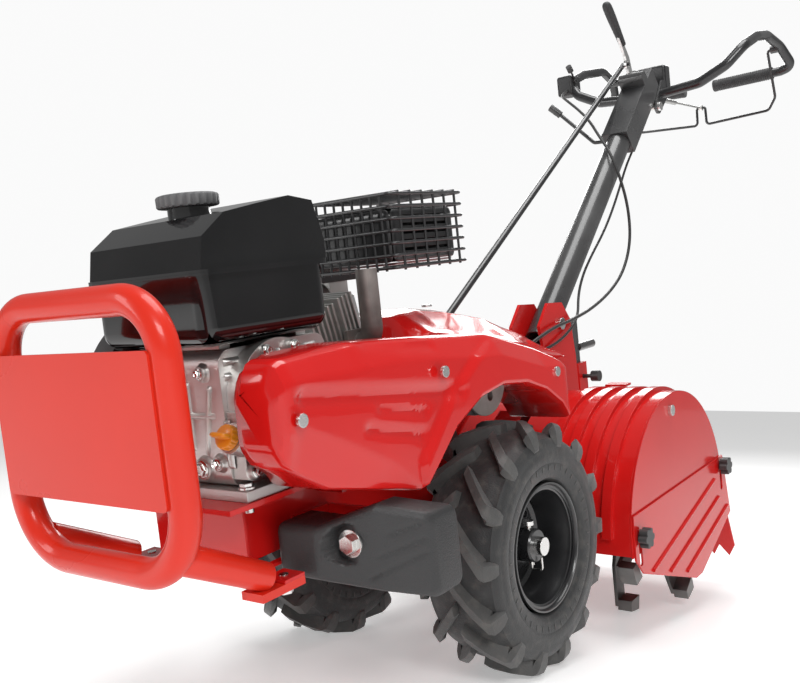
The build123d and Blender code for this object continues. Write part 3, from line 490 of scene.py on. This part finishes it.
def belt_cover():
    bm = bmesh.new()
    stations = [(-451.6, 30), (-451.2, 21), (-449.5, 13), (-446, 7), (-440, 2.5), (-432, 0)]
    stations += [(-424 + 6 * step, 0) for step in range(91)]
    stations += [(122, 1.5), (125, 5)]
    rings = []
    for y, pull in stations:
        top = interpolate(COVER_TOP, y) - pull * 0.35
        bottom = interpolate(COVER_BOTTOM, y) + pull * 0.35
        inner = COVER_IN + 34 * ease((-372 - y) / 60)
        ring = [(inner, y, bottom), (150, y, bottom)]
        low_x = cover_depth(y, bottom + 6, top) - pull
        ring += [(low_x - 12, y, bottom), (low_x - 5, y, bottom + 0.8), (low_x - 1.5, y, bottom + 3)]
        steps = 34
        for k in range(steps + 1):
            z = bottom + 6 + (top - bottom - 12) * k / steps
            ring.append((cover_depth(y, z, top) - pull, y, z))
        high_x = ring[-1][0]
        ring += [(high_x - 3, y, top - 3), (high_x - 8, y, top - 0.8), (high_x - 16, y, top)]
        ring += [(152, y, top), (max(128, inner + 10), y, top), (max(124, inner + 7), y, top - 7)]
        ring += [(max(116, inner + 4), y, top - 9), (inner, y, top - 9)]
        rings.append(ring)
    add_rings(bm, rings, closed=False)
    front = [v for v in bm.verts if abs(v.co.y + 451.6) < 0.01]
    bm.faces.new(front)
    rear = [v for v in bm.verts if abs(v.co.y - 125) < 0.01]
    bm.faces.new(rear[::-1])
    mesh = bmesh_to_mesh("belt_cover_detail", bm)
    obj = finish_piece("belt_cover_detail", mesh, "red_cover", "chassis", ["belt_cover"], smooth=28)
    solid = obj.modifiers.new("skin", "SOLIDIFY")
    solid.thickness = 0.002
    solid.offset = -1


belt_cover()


# ---- top cover -----------------------------------------------------------------------------------
CREST = [(-92, 300), (-78, 330), (-20, 337), (47, 327), (150, 305), (262, 262), (300, 240), (319, 217)]
SHOULDER = [(-92, 292), (-57, 308), (38, 290), (176, 262), (300, 228), (319, 216.5)]


def top_cover():
    xs = [-104.5, -102.5, -98, -90, -80, -70, -60, -57, -52, -46, -40, -35, -30, -20, -10, 0, 10, 20, 30]
    xs += [35, 46, 52, 58, 66, 74, 82, 90, 97, 101.5, 103.6]
    ys = [-92, -89, -85, -81, -77, -72] + [-66 + 6 * step for step in range(38)]
    ys = [y for y in ys if y < 160]
    ys += [162, 168, 174, 180, 186, 192, 198, 204, 210, 218, 226, 234, 244, 254, 262, 268, 276, 284, 292, 300,
           308, 314, 319.5]

    def height(x, y):
        crest = interpolate(CREST, y)
        shoulder = min(crest, interpolate(SHOULDER, y))
        side = abs(x)
        top = crest - 3.0 * ease((side - 34) / 10) * ease((y + 60) / 40) * ease((250 - y) / 60)
        if side > 56:
            top = crest - 3.0 * ease((y + 60) / 40) * ease((250 - y) / 60)
            top = top + (shoulder - top) * min(1.0, (side - 56) / 40)
        if side > 96:
            top -= 0.5 * (side - 96) ** 1.6 / 4
        return max(216.4, top)

    bm = bmesh.new()
    grid = [[bm.verts.new((x, y, height(x, y))) for x in xs] for y in ys]
    for j in range(len(ys) - 1):
        for i in range(len(xs) - 1):
            x = (xs[i] + xs[i + 1]) / 2
            y = (ys[j] + ys[j + 1]) / 2
            rod_slot = -57 < x < -35 and 162 < y < 204
            cable_mouth = abs(x) < 30 and y > 284
            if not rod_slot and not cable_mouth:
                bm.faces.new((grid[j][i], grid[j][i + 1], grid[j + 1][i + 1], grid[j + 1][i]))
    for column in (0, len(xs) - 1):
        foot = [bm.verts.new((xs[column], y, 216.3)) for y in ys]
        for j in range(len(ys) - 1):
            y = (ys[j] + ys[j + 1]) / 2
            if column and -36 < y < -4:
                continue
            bm.faces.new((grid[j][column], grid[j + 1][column], foot[j + 1], foot[j]))
    foot = [bm.verts.new((x, -92, 216.3)) for x in xs]
    for i in range(len(xs) - 1):
        bm.faces.new((grid[0][i], grid[0][i + 1], foot[i + 1], foot[i]))
    mesh = bmesh_to_mesh("top_cover_detail", bm)
    obj = finish_piece("top_cover_detail", mesh, "red_cover", "chassis", ["top_cover"], smooth=24)
    solid = obj.modifiers.new("skin", "SOLIDIFY")
    solid.thickness = 0.0022
    solid.offset = -1


top_cover()


# ---- fuel cap ------------------------------------------------------------------------------------
def fuel_cap():
    bm = bmesh.new()
    rings = []
    profile = ((490.6, 30, 0), (491, 34, 0.3), (492.4, 35.5, 1), (502.5, 35.8, 1), (504.4, 34.4, 0.7),
               (505.4, 31.6, 0.2), (505.4, 28, 0), (504.6, 25, 0), (504.2, 12, 0), (504.2, 2, 0))
    for z, r, flute in profile:
        ring = []
        for step in range(144):
            angle = 2 * math.pi * step / 144
            wave = max(0.0, math.cos(24 * angle)) ** 0.6
            reach = r - flute * 1.5 * wave
            ring.append((6 + reach * math.cos(angle), -364 + reach * math.sin(angle), z))
        rings.append(ring)
    add_rings(bm, rings)
    finish_piece("fuel_cap_detail", bmesh_to_mesh("fuel_cap_detail", bm), "grey_plastic", "cap", ["fuel_cap"])


fuel_cap()


# ---- front weights -------------------------------------------------------------------------------
# x, then lowest and highest y, lowest and highest z of the weight's section there
WEIGHT_STATIONS = [
    (84, (-366, -304, 68, 130)),
    (130, (-352, -290, 61, 124)),
    (185, (-312, -264, 42, 142)),
    (232, (-270, -214, 26, 122)),
]


def weight_section(x):
    for (x0, low), (x1, high) in zip(WEIGHT_STATIONS, WEIGHT_STATIONS[1:]):
        if x <= x1:
            share = (x - x0) / (x1 - x0)
            return [a + (b - a) * share for a, b in zip(low, high)]
    return list(WEIGHT_STATIONS[-1][1])


def weight_face(x, y, z):
    """Relief on the weight's front: three diagonal grooves and the bolt's round recess."""
    for start, end in (((197, 108), (221, 115)), ((186, 84), (224, 98)), ((176, 60), (225, 82))):
        y += near_line(x, z, start, end, 3.6, 2.6)
    reach = math.hypot(x - 160, z - 101)
    floor = -324.4
    if y < floor:
        y += (floor - y) * ease((24 - reach) / 3.4)
    return y


def weight_mesh():
    bm = bmesh.new()
    rings = []
    ends = [(84.2, 7), (84.9, 4.6), (86.4, 2.4), (88.8, 0.8), (92, 0)]
    ends += [(95 + 2.5 * step, 0) for step in range(53)]
    ends += [(227.4, 0.6), (229.6, 2), (231, 4.2), (231.8, 7)]
    for x, inset in ends:
        y0, y1, z0, z1 = weight_section(x)
        y0, y1, z0, z1 = y0 + inset, y1 - inset, z0 + inset, z1 - inset
        corner = 10.0
        ring = []
        for k in range(30):
            z = z0 + corner + (z1 - z0 - 2 * corner) * k / 29
            ring.append((x, weight_face(x, y0, z), z))
        for cy, cz, begin in ((y0 + corner, z1 - corner, 180), (y1 - corner, z1 - corner, 90)):
            for k in range(1, 7):
                angle = math.radians(begin - 90 * k / 6)
                ring.append((x, cy + corner * math.cos(angle), cz + corner * math.sin(angle)))
        for cy, cz, begin in ((y1 - corner, z0 + corner, 0), (y0 + corner, z0 + corner, -90)):
            for k in range(0, 6):
                angle = math.radians(begin - 90 * k / 6)
                ring.append((x, cy + corner * math.cos(angle), cz + corner * math.sin(angle)))
        rings.append(ring)
    add_rings(bm, rings)
    return bmesh_to_mesh("weight", bm)


left_weight = weight_mesh()
right_weight = mirror_mesh(left_weight)
finish_piece("left_weight_detail", left_weight, "cast_black", "chassis", ["front_weights"], smooth=34)
finish_piece("right_weight_detail", right_weight, "cast_black", "chassis", smooth=34)


# ---- engine castings and fasteners ---------------------------------------------------------------
CRANK = (-335, 271)
FRONT_FACE = -404.6
SIDE_FACE = 91.8
SMALL_BOLT = 4.6
COVER_BOLTS = [(CRANK[0] + 57 * math.cos(math.radians(22.5 + 45 * k)),
                CRANK[1] + 57 * math.sin(math.radians(22.5 + 45 * k))) for k in range(8)]
CORNER_BOLTS = [(-393, 196), (-360, 194), (-310, 194), (-272, 196), (-272, 252)]
FRONT_BOLTS = [(-56, 206), (56, 206), (-56, 304), (44, 306), (0, 302)]


def hex_bolt(bm, start, way, size):
    start, way = Vector(start), Vector(way).normalized()
    washer = [(0, size * 1.4), (1.2, size * 1.4), (1.9, size * 1.2), (2.1, size)]
    lathe_along(bm, start, start + way, washer, 28)
    head = [(2.0, size * 1.02), (5.0, size * 1.02), (6.0, size * 0.84), (6.0, size * 0.5),
            (5.4, size * 0.4), (5.4, 0.6)]
    lathe_along(bm, start, start + way, head, 6)


def engine_bolts():
    bm = bmesh.new()
    for y, z in COVER_BOLTS:
        hex_bolt(bm, (97.1, y, z), (1, 0, 0), SMALL_BOLT)
    for y, z in CORNER_BOLTS:
        hex_bolt(bm, (97.1, y, z), (1, 0, 0), SMALL_BOLT)
    for x, z in FRONT_BOLTS:
        hex_bolt(bm, (x, -411.2, z), (0, -1, 0), SMALL_BOLT)
    hex_bolt(bm, (30, -411.2, 199), (0, -1, 0), 7.5)
    for x, y in ((-84, -398), (84, -398), (-84, -268), (84, -268)):
        hex_bolt(bm, (x, y, 176.1), (0, 0, 1), 6.5)
    finish_piece("engine_bolts", bmesh_to_mesh("engine_bolts", bm), "steel", "chassis", smooth=30)


def rounded_rib(bm, start, end, out, width, height):
    """Cast rib from start to end, standing out from its face with a rounded top and sloping ends."""
    start, end, out = Vector(start), Vector(end), Vector(out).normalized()
    along = (end - start).normalized()
    side = along.cross(out)
    rings = []
    slope = ((0, 0.15), (0.02, 0.6), (0.05, 0.9), (0.1, 1), (0.9, 1), (0.95, 0.9), (0.98, 0.6), (1, 0.15))
    for share, tall in slope:
        centre = start + (end - start) * share
        ring = []
        for step in range(13):
            angle = math.pi * step / 12
            flare = 1 + 0.5 * (1 - math.sin(angle)) ** 2
            across = side * width * flare * math.cos(angle)
            ring.append(centre + across + out * height * tall * math.sin(angle) ** 0.7)
        rings.append(ring)
    add_rings(bm, rings)


def engine_castings():
    bm = bmesh.new()
    boss = [(0, 11.5), (1.5, 9.6), (4, 8.8), (5.4, 8.4), (6.1, 7.6), (6.1, 1)]
    for x, z in FRONT_BOLTS:
        lathe_along(bm, (x, -404.9, z), (x, -420, z), boss, 32)
    drain_boss = [(0, 15), (2, 13.4), (5.4, 12.6), (6.1, 11.6), (6.1, 1)]
    lathe_along(bm, (30, -404.9, 199), (30, -420, 199), drain_boss, 36)
    corner_boss = [(0, 10.5), (1.5, 8.6), (4.4, 7.8), (5.1, 7), (5.1, 1)]
    for y, z in CORNER_BOLTS:
        lathe_along(bm, (91.9, y, z), (120, y, z), corner_boss, 32)
    crank_seat = [(0, 42), (1.5, 40), (3.4, 39), (4, 38), (4, 33), (2.4, 31.4), (1, 30)]
    lathe_along(bm, (91.9, *CRANK), (120, *CRANK), crank_seat, 64)
    for x in (-34, -12, 14):
        rounded_rib(bm, (x, FRONT_FACE, 218), (x, FRONT_FACE, 296), (0, -1, 0), 2.6, 5.5)
    rounded_rib(bm, (-52, FRONT_FACE, 258), (56, FRONT_FACE, 258), (0, -1, 0), 2.6, 4.6)
    rounded_rib(bm, (36, FRONT_FACE, 214), (52, FRONT_FACE, 292), (0, -1, 0), 2.4, 5)
    rounded_rib(bm, (70, -398, 300), (70, -250, 300), (1, 0, 0), 3, 6)
    rounded_rib(bm, (70, -398, 316), (70, -250, 316), (1, 0, 0), 3, 6)
    for k in range(6):
        angle = math.radians(30 + 60 * k)
        near = (SIDE_FACE, CRANK[0] + 40 * math.cos(angle), CRANK[1] + 40 * math.sin(angle))
        far = (SIDE_FACE, CRANK[0] + 52 * math.cos(angle), CRANK[1] + 52 * math.sin(angle))
        rounded_rib(bm, near, far, (1, 0, 0), 2.2, 4.2)
    rounded_rib(bm, (71, -403.4, 200), (71, -403.4, 254), (0, -1, 0), 3.4, 4)
    mesh = bmesh_to_mesh("engine_castings", bm)
    finish_piece("engine_castings", mesh, "aluminium", "chassis", smooth=40)


def filler_plug():
    """Oil plug: ribbed collar with a flat finger wing."""
    bm = bmesh.new()
    start, end = Vector((84, -412.3, 236.09)), Vector((84, -426, 242.22))
    way = (end - start).normalized()
    side = Vector((1, 0, 0))
    up = way.cross(side)
    rings = []
    collar = ((0.4, 12, 0), (0.6, 13.4, 0.2), (1.8, 13.9, 1), (8.6, 13.9, 1), (10.2, 13.2, 0.4),
              (11, 11.6, 0), (11.2, 1, 0))
    for t, r, flute in collar:
        ring = []
        for step in range(96):
            angle = 2 * math.pi * step / 96
            reach = r - flute * 0.9 * max(0.0, math.cos(16 * angle))
            ring.append(start + way * t + side * reach * math.cos(angle) + up * reach * math.sin(angle))
        rings.append(ring)
    add_rings(bm, rings)
    rings = []
    wing = ((10.6, 11.6, 3.6), (12, 12, 3.2), (18, 12, 2.8), (21, 10.6, 2.5), (22.4, 7.6, 1.9),
            (22.9, 3, 0.8))
    for t, wide, thick in wing:
        ring = []
        for step in range(40):
            angle = 2 * math.pi * step / 40
            c, s = math.cos(angle), math.sin(angle)
            across = math.copysign(abs(c) ** 0.6, c) * wide
            depth = math.copysign(abs(s) ** 0.6, s) * thick
            ring.append(start + way * t + side * across + up * depth)
        rings.append(ring)
    add_rings(bm, rings)
    mesh = bmesh_to_mesh("filler_plug_detail", bm)
    finish_piece("filler_plug_detail", mesh, "orange_plastic", "dipstick", ["oil_filler_plug"], smooth=40)


def starter_rope():
    """Rope end in the starter's spout."""
    start, end = (-144, -437.4, 297), (-144, -440.6, 297)
    bm = bmesh.new()
    lathe_along(bm, start, end, [(3.2 * step / 48, 2.1) for step in range(49)], 16)
    mesh = bmesh_to_mesh("starter_rope", bm)
    mesh.transform(LEVEL)
    for polygon in mesh.polygons:
        polygon.use_smooth = True
    mesh.materials.append(own_materials["rubber"])
    rope = bpy.data.objects.new("starter_rope", mesh)
    scene.collection.objects.link(rope)
    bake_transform(rope)


engine_bolts()
engine_castings()
filler_plug()
starter_rope()


# ---- handle details ------------------------------------------------------------------------------
def hand_grips():
    for side, label in ((1, "left"), (-1, "right")):
        bm = bmesh.new()
        profile = [(0, 11.2), (0, 14.4), (1.5, 15), (6, 15), (8, 14.2)]
        t = 10.0
        while t < 134:
            profile += [(t, 13.7), (t + 1.0, 14.6), (t + 3.0, 14.6), (t + 4.0, 13.7)]
            t += 5.0
        profile += [(137, 14.6), (144, 15), (146.4, 14), (147, 11), (147, 3)]
        lathe_along(bm, (side * 184, 1384, 764.5), (side * 37, 1384, 760.8), profile, 36)
        replaced = ["hand_grips"] if side > 0 else []
        mesh = bmesh_to_mesh(label + "_grip_detail", bm)
        finish_piece(label + "_grip_detail", mesh, "grip_rubber", "handle_frame", replaced, smooth=30)


def shift_knob():
    bm = bmesh.new()
    start = Vector((-36, 1000, 836))
    end = Vector((-36, 922, 921))
    run = (end - start).normalized()
    across = Vector((1, 0, 0))
    flat = run.cross(across)
    rings = []
    profile = ((0, 5.5, 5), (1, 7, 6.4), (4, 7.8, 7), (20, 8.4, 7.4), (45, 9.6, 8.2), (70, 10.6, 9),
               (92, 11, 9.4), (104, 10.6, 9), (110, 9.2, 7.8), (113.6, 6.6, 5.6), (115.2, 2.6, 2.2))
    for t, a, b in profile:
        centre = start + run * t
        ring = []
        for step in range(40):
            angle = 2 * math.pi * step / 40
            ring.append(centre + across * a * math.cos(angle) + flat * b * math.sin(angle))
        rings.append(ring)
    add_rings(bm, rings)
    mesh = bmesh_to_mesh("shift_knob_detail", bm)
    finish_piece("shift_knob_detail", mesh, "grip_rubber", "shifter", ["shift_grip"], smooth=50)


hand_grips()
shift_knob()


# ---- floor, light and finish ---------------------------------------------------------------------
def stage_and_light():
    scene.view_settings.view_transform = "Standard"
    bm = bmesh.new()
    size = 14.0
    corners = ((-size, -size), (size, -size), (size, size), (-size, size))
    bm.faces.new([bm.verts.new((x, y, 0)) for x, y in corners])
    mesh = bpy.data.meshes.new("floor")
    bm.to_mesh(mesh)
    bm.free()
    floor = bpy.data.objects.new("floor", mesh)
    scene.collection.objects.link(floor)
    paper = make_material("floor_paper", (0.88, 0.877, 0.873), 0.34, grain=90, bump=0.02, mottle=0.6,
                          shift=0.01)
    shader = paper.node_tree.nodes["Principled BSDF"]
    shader.inputs["Emission Color"].default_value = (1, 1, 1, 1)
    shader.inputs["Emission Strength"].default_value = 0.34
    mesh.materials.append(paper)
    world = bpy.data.worlds.new("studio")
    scene.world = world
    world.use_nodes = True
    tree = world.node_tree
    soft = tree.nodes["Background"]
    soft.inputs["Color"].default_value = (1, 1, 1, 1)
    soft.inputs["Strength"].default_value = 0.3
    backdrop = tree.nodes.new("ShaderNodeBackground")
    backdrop.inputs["Color"].default_value = (1, 1, 1, 1)
    backdrop.inputs["Strength"].default_value = 0.96
    path = tree.nodes.new("ShaderNodeLightPath")
    blend = tree.nodes.new("ShaderNodeMixShader")
    tree.links.new(path.outputs["Is Camera Ray"], blend.inputs["Fac"])
    tree.links.new(soft.outputs["Background"], blend.inputs[1])
    tree.links.new(backdrop.outputs["Background"], blend.inputs[2])
    tree.links.new(blend.outputs["Shader"], tree.nodes["World Output"].inputs["Surface"])
    lamps = (
        ("key", (2.6, -2.2, 2.3), (0, 0, 0.35), 1.6, 1.0, 66),
        ("fill", (-2.0, -3.0, 1.3), (0, -0.2, 0.35), 0.8, 1.8, 26),
        ("top", (0.3, 0.4, 3.2), (0, 0.3, 0.3), 2.4, 1.6, 66),
        ("back", (-1.4, 3.0, 2.2), (0, 0.6, 0.5), 2.2, 1.2, 55),
    )
    for name, place, aim, width, height, power in lamps:
        data = bpy.data.lights.new(name, "AREA")
        data.shape = "RECTANGLE"
        data.size = width
        data.size_y = height
        data.energy = power
        lamp = bpy.data.objects.new(name, data)
        scene.collection.objects.link(lamp)
        lamp.location = place
        lamp.rotation_euler = (Vector(aim) - Vector(place)).to_track_quat("-Z", "Y").to_euler()


stage_and_light()
